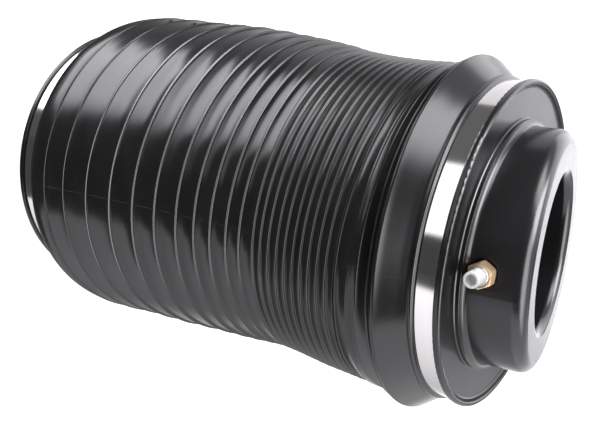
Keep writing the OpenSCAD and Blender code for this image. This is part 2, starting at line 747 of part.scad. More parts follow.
module tie_bolt()
{
    head_z = cup_z + cup_t + fit_gap;
    end_z = mount_thread_h + 3;
    color(steel)
        difference() {
            union() {
                translate([0, 0, end_z])
                    cylinder(r1 = tie_bolt_r - 1, r2 = tie_bolt_r, h = 1);
                translate([0, 0, end_z + 1])
                    cylinder(r = tie_bolt_r, h = head_z - end_z);
                translate([0, 0, head_z])
                    cylinder(r = tie_bolt_r * 1.7, h = tie_bolt_r * 1.2);
            }
            translate([0, 0, head_z + tie_bolt_r * 0.5])
                cylinder(r = tie_bolt_r * 0.92, h = tie_bolt_r, $fn = 6);
        }
}

module bump_stop_cup()
{
    inner = bump_r + 0.2;
    color(steel)
        difference() {
            translate([0, 0, cup_z])
                rotate_extrude()
                    polygon([[0, 0], [inner + cup_t - 1, 0], [inner + cup_t, 1], [inner + cup_t, cup_rim_h - 0.5],
                             [inner + cup_t - 0.5, cup_rim_h], [inner, cup_rim_h - 0.5], [inner, cup_t], [0, cup_t]]);
            translate([0, 0, cup_z - over])
                cylinder(r = tie_bolt_r + fit_gap, h = cup_t + 2 * over);
        }
}

module bump_stop()
{
    bore_r = tie_bolt_r * 1.7 + 0.8;
    steps = 48;
    foot_h = cup_rim_h + 1;
    wave_h = bump_h - foot_h;
    side = [for (k = [0 : steps]) let (t = k / steps)
        [bump_r + (bump_top_r - bump_r) * t * t - bump_waist_d * (1 - cos(360 * bump_waists * t)) / 2 * (1 - 0.4 * t),
         foot_h + (wave_h - 2) * t]];
    color(foam)
        translate([0, 0, bump_z])
            difference() {
                rotate_extrude()
                    polygon(concat([[0, 0], [bump_r - 1, 0], [bump_r, 1]], side,
                                   [[bump_top_r - 2, bump_h], [0, bump_h]]));
                translate([0, 0, -over])
                    cylinder(r = bore_r, h = bump_h * 0.7 + over);
            }
}

module fitting_body()
{
    across_corners = hex_w / cos(30);
    color(brass)
        at_port()
            difference() {
                union() {
                    translate([0, 0, fit_gap])
                        intersection() {
                            rotate([0, 0, 30])
                                cylinder(r = across_corners / 2, h = hex_l, $fn = 6);
                            rotate_extrude()
                                polygon([[0, 0], [hex_w / 2 - 0.2, 0], [across_corners / 2 + 0.1, 0.5],
                                         [across_corners / 2 + 0.1, hex_l - 0.7], [hex_w / 2 - 0.2, hex_l], [0, hex_l]]);
                        }
                    translate([0, 0, -1.4])
                        cylinder(r = shank_r - 0.5, h = 1.5);
                    translate([0, 0, -shank_l + 0.6])
                        cylinder(r = shank_r, h = shank_l - 2);
                    translate([0, 0, -shank_l])
                        cylinder(r1 = shank_r - 0.6, r2 = shank_r, h = 0.6);
                }
                translate([0, 0, -shank_l - over])
                    cylinder(r = valve_r, h = shank_l + chamber[1] + over);
                translate([0, 0, chamber[1] - over])
                    cylinder(r = 1.3, h = chamber_out - chamber[1] + 2 * over);
                translate([0, 0, chamber_out])
                    cylinder(r = line_r, h = shank_l + hex_l);
                translate([0, 0, seal_seat[0]])
                    cylinder(r = line_r + 1.05, h = seal_seat[1]);
                translate([0, 0, collet_in - fit_gap])
                    cylinder(r = line_r + 1.25, h = hex_l);
            }
}

module fitting_seal()
{
    color(rubber)
        at_port(-0.56)
            torus(shank_r + 0.1, 0.54);
}

module valve_retainer()
{
    start = -shank_l + 1;
    color(brass)
        at_port(start)
            difference() {
                cylinder(r = valve_r - fit_gap / 2, h = retainer_t);
                translate([0, 0, -over])
                    cylinder(r = 0.9, h = retainer_t + 2 * over);
                for (k = [0 : 3])
                    rotate([0, 0, 90 * k])
                        translate([1.8, 0, -over])
                            cylinder(r = 0.5, h = retainer_t + 2 * over);
            }
}

module valve_poppet()
{
    seat = chamber[1] - fit_gap;
    stem_l = seat - poppet_t + shank_l - 1 - 0.4;
    color(white)
        at_port(seat - poppet_t)
            union() {
                cylinder(r = 2.1, h = poppet_t);
                translate([0, 0, -stem_l])
                    cylinder(r = 0.8, h = stem_l + 0.2);
            }
}

// The wire is swept along a helix between the retainer and the poppet's disc
module valve_spring()
{
    from = -shank_l + 1 + retainer_t + spring_wire_r + 0.06;
    to = chamber[1] - fit_gap - poppet_t - spring_wire_r - 0.06;
    coil_r = 1.45;
    sides = 8;
    rings = ceil(spring_turns * 14);
    points = [for (k = [0 : rings]) for (s = [0 : sides - 1])
        let (turn = 360 * spring_turns * k / rings, a = 360 * s / sides, r = coil_r + spring_wire_r * cos(a))
        [r * cos(turn), r * sin(turn), from + (to - from) * k / rings + spring_wire_r * sin(a)]];
    faces = concat(
        [[for (s = [0 : sides - 1]) s]],
        [for (k = [0 : rings - 1]) for (s = [0 : sides - 1])
            [k * sides + s, (k + 1) * sides + s, (k + 1) * sides + (s + 1) % sides, k * sides + (s + 1) % sides]],
        [[for (s = [sides - 1 : -1 : 0]) rings * sides + s]]);
    color(steel)
        at_port()
            polyhedron(points, faces, convexity = 6);
}

module tube_seal()
{
    color(rubber)
        at_port((seal_seat[0] + seal_seat[1]) / 2)
            torus(line_r + 0.5, 0.5);
}

module grip_collet()
{
    outer = line_r + 1.25 - fit_gap;
    length = hex_l - collet_in + 0.3;
    color(alloy)
        at_port(collet_in)
            difference() {
                ring(line_r, outer, length, 0.2);
                for (k = [0 : 2])
                    rotate([0, 0, 60 * k])
                        translate([-hex_w, -0.25, -over])
                            cube([2 * hex_w, 0.5, length * 0.6 + over]);
            }
}

module transport_plug()
{
    start = chamber_out + 0.3;
    collar = hex_l + 0.3 + 2 * fit_gap;
    color(white)
        at_port()
            difference() {
                union() {
                    translate([0, 0, start])
                        cylinder(r1 = line_r - 0.6, r2 = line_r - fit_gap, h = 0.8);
                    translate([0, 0, start + 0.8])
                        cylinder(r = line_r - fit_gap, h = collar - start);
                    translate([0, 0, collar])
                        rotate_extrude()
                            polygon([[0, 0], [plug_r - 0.3, 0], [plug_r, 0.3], [plug_r, plug_l - 0.3],
                                     [plug_r - 0.3, plug_l], [0, plug_l]]);
                }
                translate([0, 0, collar + plug_l - plug_bore_l])
                    cylinder(r = plug_bore_r, h = plug_bore_l + over);
            }
}

top_cap();
upper_boot_band();
upper_crimp_ring();
air_sleeve();
dust_boot();
lower_boot_band();
lower_crimp_ring();
piston_head();
head_seal();
rolling_piston();
base_seal();
base_plate();
mounting_insert();
tie_bolt();
bump_stop_cup();
bump_stop();
fitting_body();
fitting_seal();
valve_retainer();
valve_spring();
valve_poppet();
tube_seal();
grip_collet();
transport_plug();
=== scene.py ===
import math

import bmesh
import bpy
from mathutils import Matrix, Vector


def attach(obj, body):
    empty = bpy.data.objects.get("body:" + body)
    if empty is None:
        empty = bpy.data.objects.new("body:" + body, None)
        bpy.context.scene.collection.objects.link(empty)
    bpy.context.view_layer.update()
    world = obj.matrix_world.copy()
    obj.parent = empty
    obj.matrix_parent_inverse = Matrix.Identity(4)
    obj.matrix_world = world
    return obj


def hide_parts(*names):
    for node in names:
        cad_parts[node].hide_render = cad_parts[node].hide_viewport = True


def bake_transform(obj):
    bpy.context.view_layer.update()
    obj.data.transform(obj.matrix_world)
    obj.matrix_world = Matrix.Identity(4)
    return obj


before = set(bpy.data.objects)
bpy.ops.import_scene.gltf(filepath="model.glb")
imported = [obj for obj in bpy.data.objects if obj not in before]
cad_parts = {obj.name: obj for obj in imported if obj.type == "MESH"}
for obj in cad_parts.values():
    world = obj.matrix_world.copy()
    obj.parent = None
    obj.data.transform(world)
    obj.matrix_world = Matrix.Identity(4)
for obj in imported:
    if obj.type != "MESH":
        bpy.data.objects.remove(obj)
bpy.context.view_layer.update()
MM = 0.001


# Trees: arithmetic on sockets, and one method for every other node

class Value:
    """A socket of a node tree. Python arithmetic on it adds Math nodes."""

    def __init__(self, tree, socket):
        self.tree = tree
        self.socket = socket

    def __add__(self, other):
        return self.tree.maths("ADD", self, other)

    def __radd__(self, other):
        return self.tree.maths("ADD", other, self)

    def __sub__(self, other):
        return self.tree.maths("SUBTRACT", self, other)

    def __rsub__(self, other):
        return self.tree.maths("SUBTRACT", other, self)

    def __mul__(self, other):
        return self.tree.maths("MULTIPLY", self, other)

    def __rmul__(self, other):
        return self.tree.maths("MULTIPLY", other, self)

    def __truediv__(self, other):
        return self.tree.maths("DIVIDE", self, other)

    def __rtruediv__(self, other):
        return self.tree.maths("DIVIDE", other, self)


class Tree:
    """A node tree under construction."""

    def __init__(self, nodes):
        self.nodes = nodes

    def add(self, kind, settings=None, inputs=None, out=0):
        node = self.nodes.nodes.new(kind)
        for key, setting in (settings or {}).items():
            setattr(node, key, setting)
        pairs = enumerate(inputs) if isinstance(inputs, list) else (inputs or {}).items()
        for key, value in pairs:
            if isinstance(value, Value):
                self.nodes.links.new(value.socket, node.inputs[key])
            else:
                node.inputs[key].default_value = value
        return Value(self, node.outputs[out])

    def maths(self, operation, *inputs):
        return self.add("ShaderNodeMath", {"operation": operation}, list(inputs))

    def vector(self, operation, *inputs, out=0):
        return self.add("ShaderNodeVectorMath", {"operation": operation}, list(inputs), out)

    def split(self, vector):
        first = self.add("ShaderNodeSeparateXYZ", {}, [vector])
        return [Value(self, s) for s in first.socket.node.outputs]

    def join(self, x, y, z):
        return self.add("ShaderNodeCombineXYZ", {}, [x, y, z])

    def blend(self, factor, one, two):
        return self.add("ShaderNodeMix", {"data_type": "RGBA"}, {0: factor, 6: one, 7: two}, 2)

    def noise(self, place, scale, detail=2.0, roughness=0.5, w=0.0):
        return self.add("ShaderNodeTexNoise", {"noise_dimensions": "4D"},
                        {"Vector": place, "W": w, "Scale": scale, "Detail": detail, "Roughness": roughness})

    def step(self, value, low, high):
        return self.add("ShaderNodeMapRange", {"interpolation_type": "SMOOTHSTEP"},
                        {"Value": value, "From Min": low, "From Max": high})

    def bump(self, height, distance, strength=1.0, under=None):
        inputs = {"Strength": strength, "Distance": distance, "Height": height}
        if under is not None:
            inputs["Normal"] = under
        return self.add("ShaderNodeBump", {}, inputs)


def grey(level):
    return (level, level, level, 1)


def emptied(owner):
    """The node tree of a material or a world, with nothing in it yet."""
    owner.use_nodes = True
    owner.node_tree.nodes.clear()
    return Tree(owner.node_tree)


def shown(tree, surface, output="ShaderNodeOutputMaterial"):
    """Makes a shader the surface of the material or world that its tree belongs to."""
    end = tree.nodes.nodes.new(output)
    tree.nodes.links.new(surface.socket, end.inputs["Surface"])


def placed(name, data):
    """A new object in the scene, at the origin."""
    made = bpy.data.objects.new(name, data)
    bpy.context.scene.collection.objects.link(made)
    return made


def finish(name, fixed, paint):
    """A material: fixed sets the shader's own sockets, and paint(tree, place) returns the ones that vary."""
    material = bpy.data.materials.new(name)
    tree = emptied(material)
    place = tree.add("ShaderNodeTexCoord", out="Object")
    shader = tree.add("ShaderNodeBsdfPrincipled", {}, fixed)
    for key, value in paint(tree, place).items():
        tree.nodes.links.new(value.socket, shader.socket.node.inputs[key])
    shown(tree, shader)
    return material


def around(tree, place, radius):
    """The place unrolled about the spring's axis: along the circumference, out from the axis, and up."""
    x, y, z = tree.split(place)
    turn = tree.maths("ARCTAN2", y, x)
    out = tree.vector("LENGTH", tree.join(x, y, 0.0), out="Value")
    return turn * radius, out, z


# Finishes

def black_moulding(tree, place):
    grain = tree.noise(place, 1900.0, 3.0, 0.6)
    flow = tree.noise(place, 28.0, 2.0, 0.5, 3.0)
    rub = tree.noise(tree.vector("MULTIPLY", place, (90.0, 90.0, 900.0)), 1.0, 3.0, 0.6, 5.0)
    shade = tree.blend(tree.step(flow, 0.35, 0.7), (0.0105, 0.0102, 0.0112, 1), (0.0155, 0.0150, 0.0165, 1))
    return {"Base Color": shade,
            "Roughness": 0.17 + 0.05 * flow + 0.05 * rub,
            "Normal": tree.bump(grain, 0.00004, 0.5, tree.bump(flow, 0.0006, 0.25))}


def boot_rubber(tree, place):
    along, out, up = around(tree, place, 0.09)
    grain = tree.noise(place, 1300.0, 2.0, 0.6)
    skin = tree.noise(place, 160.0, 3.0, 0.55, 2.0)
    bloom = tree.noise(tree.join(along, out, 2.0 * up), 45.0, 3.0, 0.6, 7.0)
    shade = tree.blend(tree.step(bloom, 0.4, 0.75), (0.0092, 0.0090, 0.0098, 1), (0.0140, 0.0136, 0.0148, 1))
    return {"Base Color": shade,
            "Roughness": 0.165 + 0.06 * bloom,
            "Normal": tree.bump(grain, 0.00001, 0.3, tree.bump(skin, 0.00004, 0.3))}


def cord_rubber(tree, place):
    along, out, up = around(tree, place, 0.07)
    one = tree.add("ShaderNodeTexWave", {}, {"Vector": tree.join(along + 0.8 * up, 0.0, 0.0), "Scale": 260.0})
    two = tree.add("ShaderNodeTexWave", {}, {"Vector": tree.join(along - 0.8 * up, 0.0, 0.0), "Scale": 260.0})
    height = tree.maths("MAXIMUM", one, two)
    fog = tree.noise(place, 60.0, 3.0, 0.6)
    return {"Base Color": tree.blend(fog, (0.014, 0.014, 0.015, 1), (0.026, 0.026, 0.027, 1)),
            "Roughness": 0.5 + 0.2 * fog,
            "Normal": tree.bump(height, 0.0001, 0.6)}


def seal_rubber(tree, place):
    fog = tree.noise(place, 300.0, 3.0, 0.6)
    return {"Base Color": tree.blend(fog, (0.010, 0.010, 0.011, 1), (0.02, 0.02, 0.021, 1)),
            "Roughness": 0.35 + 0.2 * fog,
            "Normal": tree.bump(fog, 0.00003, 0.4)}


def rolled_steel(tree, place):
    along, out, up = around(tree, place, 0.082)
    lines = tree.noise(tree.join(along * 14.0, out * 900.0, up * 5200.0), 1.0, 4.0, 0.65)
    wide = tree.noise(tree.join(along * 30.0, out * 30.0, up * 420.0), 1.0, 2.0, 0.5, 4.0)
    wave = tree.noise(tree.join(along, out, up), 38.0, 2.0, 0.5, 9.0)
    return {"Base Color": tree.blend(wide, (0.70, 0.69, 0.68, 1), (0.80, 0.79, 0.785, 1)),
            "Roughness": 0.06 + 0.07 * lines + 0.03 * wide,
            "Normal": tree.bump(lines, 0.000012, 0.35, tree.bump(wave, 0.0004, 0.2))}


def turned_alloy(tree, place):
    along, out, up = around(tree, place, 0.06)
    cut = tree.noise(tree.join(along * 4.0, out * 4200.0, up * 4200.0), 1.0, 3.0, 0.6)
    fog = tree.noise(place, 80.0, 3.0, 0.6, 2.0)
    return {"Base Color": tree.blend(fog, (0.60, 0.60, 0.61, 1), (0.72, 0.72, 0.73, 1)),
            "Roughness": 0.26 + 0.14 * cut + 0.08 * fog,
            "Normal": tree.bump(cut, 0.00002, 0.5)}


def cast_alloy(tree, place):
    pits = tree.noise(place, 900.0, 4.0, 0.7)
    fog = tree.noise(place, 35.0, 3.0, 0.6, 2.0)
    return {"Base Color": tree.blend(fog, (0.43, 0.43, 0.44, 1), (0.57, 0.57, 0.58, 1)),
            "Roughness": 0.42 + 0.2 * fog,
            "Normal": tree.bump(pits, 0.0001, 0.5)}


def plated_steel(tree, place):
    fog = tree.noise(place, 120.0, 3.0, 0.6)
    grain = tree.noise(place, 2200.0, 2.0, 0.6, 3.0)
    return {"Base Color": tree.blend(fog, (0.56, 0.56, 0.54, 1), (0.70, 0.69, 0.66, 1)),
            "Roughness": 0.24 + 0.16 * fog,
            "Normal": tree.bump(grain, 0.00002, 0.4)}


def spring_wire(tree, place):
    grain = tree.noise(place, 3000.0, 2.0, 0.6)
    return {"Base Color": tree.blend(grain, (0.42, 0.42, 0.43, 1), (0.55, 0.55, 0.56, 1)),
            "Roughness": 0.25 + 0.15 * grain,
            "Normal": tree.bump(grain, 0.00001, 0.4)}


def turned_brass(tree, place):
    x, y, z = tree.split(place)
    cut = tree.noise(tree.join(x * 5200.0, y * 300.0, z * 300.0), 1.0, 3.0, 0.6)
    fog = tree.noise(place, 330.0, 3.0, 0.6, 2.0)
    return {"Base Color": tree.blend(fog, (0.78, 0.57, 0.35, 1), (0.86, 0.66, 0.45, 1)),
            "Roughness": 0.3 + 0.12 * cut + 0.14 * fog,
            "Normal": tree.bump(cut, 0.00002, 0.5)}


def stop_foam(tree, place):
    cells = tree.add("ShaderNodeTexVoronoi", {}, {"Vector": place, "Scale": 1500.0})
    skin = tree.noise(place, 90.0, 3.0, 0.6)
    return {"Base Color": tree.blend(skin, (0.62, 0.52, 0.27, 1), (0.74, 0.64, 0.37, 1)),
            "Roughness": 0.6 + 0.2 * skin,
            "Normal": tree.bump(cells, 0.0002, 0.5)}


def white_nylon(tree, place):
    fog = tree.noise(place, 420.0, 2.0, 0.5)
    grain = tree.noise(place, 2600.0, 2.0, 0.6, 3.0)
    return {"Base Color": tree.blend(fog, (0.74, 0.74, 0.745, 1), (0.83, 0.83, 0.835, 1)),
            "Roughness": 0.34 + 0.12 * fog,
            "Normal": tree.bump(grain, 0.00002, 0.4)}


METAL = {"Metallic": 1.0}
finishes = {
    "moulding": finish("black_moulding", {"IOR": 1.5}, black_moulding),
    "boot_rubber": finish("boot_rubber", {"IOR": 1.5}, boot_rubber),
    "sleeve_rubber": finish("cord_rubber", {"IOR": 1.5}, cord_rubber),
    "seal_rubber": finish("seal_rubber", {"IOR": 1.5}, seal_rubber),
    "band_steel": finish("rolled_steel", METAL, rolled_steel),
    "crimp_alloy": finish("turned_alloy", METAL, turned_alloy),
    "piston_alloy": finish("cast_alloy", METAL, cast_alloy),
    "insert_steel": finish("plated_steel", METAL, plated_steel),
    "spring_steel": finish("spring_wire", METAL, spring_wire),
    "collet_steel": finish("collet_steel", METAL, plated_steel),
    "fitting_brass": finish("turned_brass", METAL, turned_brass),
    "stop_foam": finish("stop_foam", {}, stop_foam),
    "white_plastic": finish("white_nylon", {"IOR": 1.5}, white_nylon),
}
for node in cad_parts.values():
    for held in node.material_slots:
        held.material = finishes[held.material.name.split(".")[0]]


# The cap's moulding again, with the soft round that the mouth of its recess has

# Where the leaning boss starts, and in mm along and across its own axis: its flat face, how far out that is
# flat, its recess, and the round at the recess's mouth
BOSS = (Matrix.Translation((0, 0, 0.277)) @ Matrix.Rotation(math.radians(10), 4, "Z")
        @ Matrix.Rotation(math.radians(-7.2), 4, "Y"))
BOSS_FACE = 23.3
BOSS_FLAT_R = 54.65
RECESS_R = 38.5
RECESS_FLOOR = -2.7
MOUTH_ROUND = 4.5
# How far beside the recess its mouth reaches in the CAD, just over the round there, and how near counts as on
# a face
OLD_MOUTH = 1.3
NEAR = 0.03
WIDE_NEAR = 0.15
# Corners closer than this many metres are one corner
SAME_PLACE = 5e-7


def merged(node, leave_out=None):
    """A node's mesh with its loose corners merged: points, faces, and the normal at each corner of each face.
    Faces for which leave_out(corners) is true are left out."""
    old = node.data
    points, numbers, faces, facing = [], {}, [], []
    for face in old.polygons:
        corners = [old.vertices[k].co for k in face.vertices]
        ids = []
        if leave_out and leave_out(corners):
            continue
        for corner in corners:
            key = tuple(round(c / SAME_PLACE) for c in corner)
            if key not in numbers:
                numbers[key] = len(points)
                points.append(Vector(corner))
            ids.append(numbers[key])
        if len(set(ids)) == len(ids):
            faces.append(ids)
            facing += [old.corner_normals[k].vector.copy() for k in face.loop_indices]
    return points, faces, facing


def faced(name, points, faces, facing, material):
    """A new piece from points and faces, with the normals that its corners are given."""
    mesh = bpy.data.meshes.new(name)
    mesh.from_pydata(points, [], faces)
    mesh.polygons.foreach_set("use_smooth", [True] * len(mesh.polygons))
    mesh.normals_split_custom_set(facing)
    mesh.materials.append(material)
    return placed(name, mesh)


def boss_place(place):
    """A place by the axis of the boss: distance from it and height, in mm, and the turn about it."""
    x, y, z = BOSS.inverted() @ place
    return math.hypot(x, y) / MM, z / MM, math.atan2(y, x)


def cut_again(corners):
    """Whether a face is part of the boss's flat face or of its recess."""
    places = [boss_place(c) for c in corners]
    return (all(abs(h - BOSS_FACE) < NEAR and r < BOSS_FLAT_R + WIDE_NEAR for r, h, t in places)
            or all(r < RECESS_R + OLD_MOUTH and RECESS_FLOOR - WIDE_NEAR < h < BOSS_FACE + NEAR
                   for r, h, t in places))


def round_the_mouth(node):
    """A copy of the cap whose recess is cut again with a round mouth. Its other faces stay as they are."""
    points, faces, facing = merged(node, cut_again)
    sides = {}
    for ids in faces:
        for k in range(len(ids)):
            side = tuple(sorted((ids[k], ids[k - 1])))
            sides[side] = sides.get(side, 0) + 1
    edge = {k for side, uses in sides.items() if uses == 1 for k in side}
    places = {k: boss_place(points[k]) for k in edge}
    rim = sorted((k for k in edge
                  if abs(places[k][1] - BOSS_FACE) < NEAR and abs(places[k][0] - BOSS_FLAT_R) < WIDE_NEAR),
                 key=lambda k: places[k][2])
    turns = [places[k][2] for k in rim]
    # Each row of the new surface: its radius and height, and how much its normal points out and up
    rows = []
    for degrees in range(90, 181, 9):
        out, up = math.cos(math.radians(degrees)), math.sin(math.radians(degrees))
        rows.append((RECESS_R + MOUTH_ROUND * (1 + out), BOSS_FACE - MOUTH_ROUND * (1 - up), out, up))
    rows.append((RECESS_R, RECESS_FLOOR, -1.0, 0.0))
    turned = BOSS.to_3x3()
    before, out_before, up_before = rim, 0.0, 1.0
    for r, h, out, up in rows:
        after = list(range(len(points), len(points) + len(turns)))
        points.extend(BOSS @ (Vector((r * math.cos(t), r * math.sin(t), h)) * MM) for t in turns)
        for i in range(len(turns)):
            j = (i + 1) % len(turns)
            faces.append([before[i], before[j], after[j], after[i]])
            for o, u, t in ((out_before, up_before, turns[i]), (out_before, up_before, turns[j]),
                            (out, up, turns[j]), (out, up, turns[i])):
                facing.append(turned @ Vector((o * math.cos(t), o * math.sin(t), u)))
        before, out_before, up_before = after, out, up
    faces.append(before)
    facing += [turned @ Vector((0, 0, 1))] * len(before)
    return faced("cap_moulding", points, faces, facing, finishes["moulding"])


cap = round_the_mouth(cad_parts["top_cap"])
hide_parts("top_cap")
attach(cap, "cap_unit")

# The rolling sleeve and the valve spring give as their joints move; each is a merged copy here, with its
# place applied to its mesh
sleeve = faced("rolling_sleeve", *merged(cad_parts["air_sleeve"]), finishes["sleeve_rubber"])
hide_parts("air_sleeve")
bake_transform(sleeve)
coil = faced("valve_coil", *merged(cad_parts["valve_spring"]), finishes["spring_steel"])
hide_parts("valve_spring")
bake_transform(coil)


# The folded boot: the section is worked out here, and a tree spins and settles it

# The section in mm: inside and outside of the two cuffs, and where they start and end
SEAT_R = 78.05
CUFF_R = 81.1
CUFF_START = 3.55
CUFF_END = 275.1
CUFF_CORNER = 0.3
LOWER_BAND_TOP = 12.3
UPPER_BAND_FOOT = 266.3
# Round ridges of the outside, each as bow() takes it: centre, radius, turns and steps
FOOT_RIDGE = ((82.0, 13.75), 1.2, -80, 60, 7)
COLLAR_RIM = ((87.4, 235.9), 0.8, -10, 30, 3)
COLLAR_BACK = ((87.4, 239.6), 0.9, 10, 60, 3)
STEP_EDGE = ((90.5, 246.8), 0.6, -50, 70, 4)
CONE_EDGE = ((91.7, 250.6), 1.1, -60, 50, 6)
HEAD_RIDGE = ((82.7, 264.2), 1.2, -50, 75, 7)
# The crest of each fold from the base up, and the crest of the collar after the last
CREST_Z = (42.1, 57.7, 74.5, 90.2, 106.2, 121.5, 135.9, 147.4, 157.0, 166.0, 173.2,
           180.6, 184.9, 189.5, 194.4, 199.0, 203.9, 208.3, 213.1, 217.9, 222.8, 227.9)
CREST_R = (96.0, 95.6, 94.6, 94.1, 93.5, 92.3, 91.0, 90.0, 89.0, 87.9, 86.9,
           86.4, 86.3, 86.3, 86.4, 86.5, 86.7, 86.9, 87.0, 87.2, 87.4, 87.6)
COLLAR_CREST = (88.2, 235.4)
# How far the skin drops behind each broad crest, and for what share of the pitch it then stays flat
DROP = (0.5, 0.55, 0.75, 0.95, 1.05, 1.1, 1.15, 1.15, 1.15, 1.15, 1.1)
FLAT = (0.1, 0.2, 0.35, 0.45, 0.42, 0.4, 0.38, 0.36, 0.34, 0.32, 0.3)
FINE_DROP, FINE_FLAT = 1.15, 0.3
LAST_DROP, LAST_FLAT = 1.6, 0.25
# The small lip of a crest as shares of the drop and mm up: on the broad folds, and on those of less pitch
LIP = ((0.0, 0.0), (0.06, 0.09), (0.25, 0.18), (0.6, 0.28), (0.88, 0.4), (1.0, 0.58))
RIDGE = ((0.0, 0.0), (0.05, 0.25), (0.16, 0.42), (0.31, 0.54), (0.5, 0.62), (0.85, 0.74), (1.0, 0.98))
RIDGE_PITCH = 6.0
# A fold's rise to the next crest: its power on the first fold, how much less on each one after it, and on how
# many it gets less
FIRST_RISE, RISE_EASE, EASED_FOLDS = 2.1, 0.075, 10
# Points along a fold, and the pitch from which it gets more of them
STEPS, MORE_STEPS, MORE_STEPS_PITCH = 9, 14, 8.0
# The last point of a fold, as a share of its pitch, so that it doesn't fall on the next crest
FOLD_END = 0.99
# The skin's swell above the lower band: turns on an ellipse, its centre, and its half widths out and up
SWELL_TURNS = (12, 20, 28, 36, 44, 52, 60, 68, 75)
SWELL_R, SWELL_Z, SWELL_OUT, SWELL_UP = 82.2, 41.2, 13.6, 26.0
# Beside the cap: the valley under the collar, the step on the collar, and its cone down to the band
VALLEY = [(86.6, 241.6), (85.0, 243.0), (84.3, 244.2), (85.2, 245.0), (88.0, 245.8)]
COLLAR_STEP = [(89.9, 248.0), (89.7, 248.8), (90.4, 249.5)]
COLLAR_CONE = [(91.7, 252.2), (90.5, 253.7), (89.1, 255.5), (87.7, 257.3),
               (86.3, 259.1), (85.0, 260.8), (84.2, 262.0), (83.5, 262.9)]
# The inside of the skin: down from the upper cuff, then behind each fold, then down to the lower cuff
INSIDE_TOP = [(SEAT_R, 264.0), (79.2, 260.5), (84.6, 252.0), (86.2, 247.4),
              (82.0, 243.8), (85.4, 238.6), (84.4, 233.0)]
INSIDE_FOOT = [(90.0, 30.0), (83.6, 21.0), (79.4, 15.8), (SEAT_R, 14.6)]
WALL_IN_DROP, WALL_AT_CREST = 1.7, 2.3
DROP_SHARE = 0.35


def bow(centre, radius, start, stop, steps):
    """Points on an arc of the section, as (r, z), angles in degrees from straight outwards."""
    turns = [math.radians(start + (stop - start) * k / steps) for k in range(steps + 1)]
    return [(centre[0] + radius * math.cos(t), centre[1] + radius * math.sin(t)) for t in turns]


def fold(low, high, drop, flat, rise, steps):
    """The skin from one crest to the next, both (r, z): over the small lip of the crest, down by drop, flat
    as far as that share of the pitch, then up to the next crest, ever steeper with rise."""
    (r0, z0), (r1, z1) = low, high
    pitch = z1 - z0
    lip = LIP if pitch > RIDGE_PITCH else RIDGE
    points = [(r0 - drop * d, z0 + z) for d, z in lip]
    start = lip[-1][1] / pitch
    for k in range(1, steps + 1):
        t = start + (FOLD_END - start) * k / steps
        up = max(t - flat, 0.0) / (1 - flat)
        points.append((r0 + (r1 - r0) * t - drop * (1 - up ** rise), z0 + pitch * t))
    return points


def boot_section():
    """The closed section of the skin as (r, z) in metres: its outside upwards, then its inside downwards."""
    folds = len(CREST_Z)
    crests = list(zip(CREST_R, CREST_Z)) + [COLLAR_CREST]
    fine = folds - len(DROP)
    drop = list(DROP) + [FINE_DROP] * (fine - 1) + [LAST_DROP]
    flat = list(FLAT) + [FINE_FLAT] * (fine - 1) + [LAST_FLAT]
    outer = [(SEAT_R, CUFF_START), (CUFF_R - CUFF_CORNER, CUFF_START), (CUFF_R, CUFF_START + CUFF_CORNER),
             (CUFF_R, LOWER_BAND_TOP), (CUFF_R + CUFF_CORNER, LOWER_BAND_TOP + CUFF_CORNER)]
    outer += bow(*FOOT_RIDGE) + [(82.35, 15.2)]
    for degrees in SWELL_TURNS:
        turn = math.radians(degrees)
        outer.append((SWELL_R + SWELL_OUT * math.sin(turn), SWELL_Z - SWELL_UP * math.cos(turn)))
    for k in range(folds):
        steps = MORE_STEPS if crests[k + 1][1] - crests[k][1] > MORE_STEPS_PITCH else STEPS
        rise = FIRST_RISE - RISE_EASE * min(k, EASED_FOLDS)
        outer += fold(crests[k], crests[k + 1], drop[k], flat[k], rise, steps)
    outer += bow(*COLLAR_RIM) + [(88.3, 237.0)] + bow(*COLLAR_BACK)
    outer += VALLEY + bow(*STEP_EDGE) + COLLAR_STEP + bow(*CONE_EDGE) + COLLAR_CONE + bow(*HEAD_RIDGE)
    outer += [(CUFF_R + 0.2, UPPER_BAND_FOOT - 0.3), (CUFF_R, UPPER_BAND_FOOT),
              (CUFF_R, CUFF_END - CUFF_CORNER), (CUFF_R - CUFF_CORNER, CUFF_END), (SEAT_R, CUFF_END)]
    inner = list(INSIDE_TOP)
    for k in range(folds - 1, -1, -1):
        (r, z), above = crests[k], crests[k + 1][1]
        inner += [(r - drop[k] - WALL_IN_DROP, z + DROP_SHARE * (above - z)), (r - WALL_AT_CREST, z)]
    return [(r * MM, z * MM) for r, z in outer + inner + INSIDE_FOOT]


def line_mesh(name, points):
    """An object, not yet in the scene, whose mesh is one line through points (r, z)."""
    mesh = bpy.data.meshes.new(name)
    mesh.from_pydata([(r, 0.0, z) for r, z in points], [(k, k + 1) for k in range(len(points) - 1)], [])
    return bpy.data.objects.new(name, mesh)


def group(name, sizes):
    """A geometry tree with named size inputs. Returns the tree, the geometry that comes in, and its sizes."""
    nodes = bpy.data.node_groups.new(name, "GeometryNodeTree")
    nodes.interface.new_socket("Geometry", in_out="INPUT", socket_type="NodeSocketGeometry")
    nodes.interface.new_socket("Geometry", in_out="OUTPUT", socket_type="NodeSocketGeometry")
    for label, kind in sizes.items():
        nodes.interface.new_socket(label, in_out="INPUT", socket_type=kind)
    tree = Tree(nodes)
    start = nodes.nodes.new("NodeGroupInput")
    given = {s.name: Value(tree, s) for s in start.outputs if s.name}
    return tree, given.pop("Geometry"), given


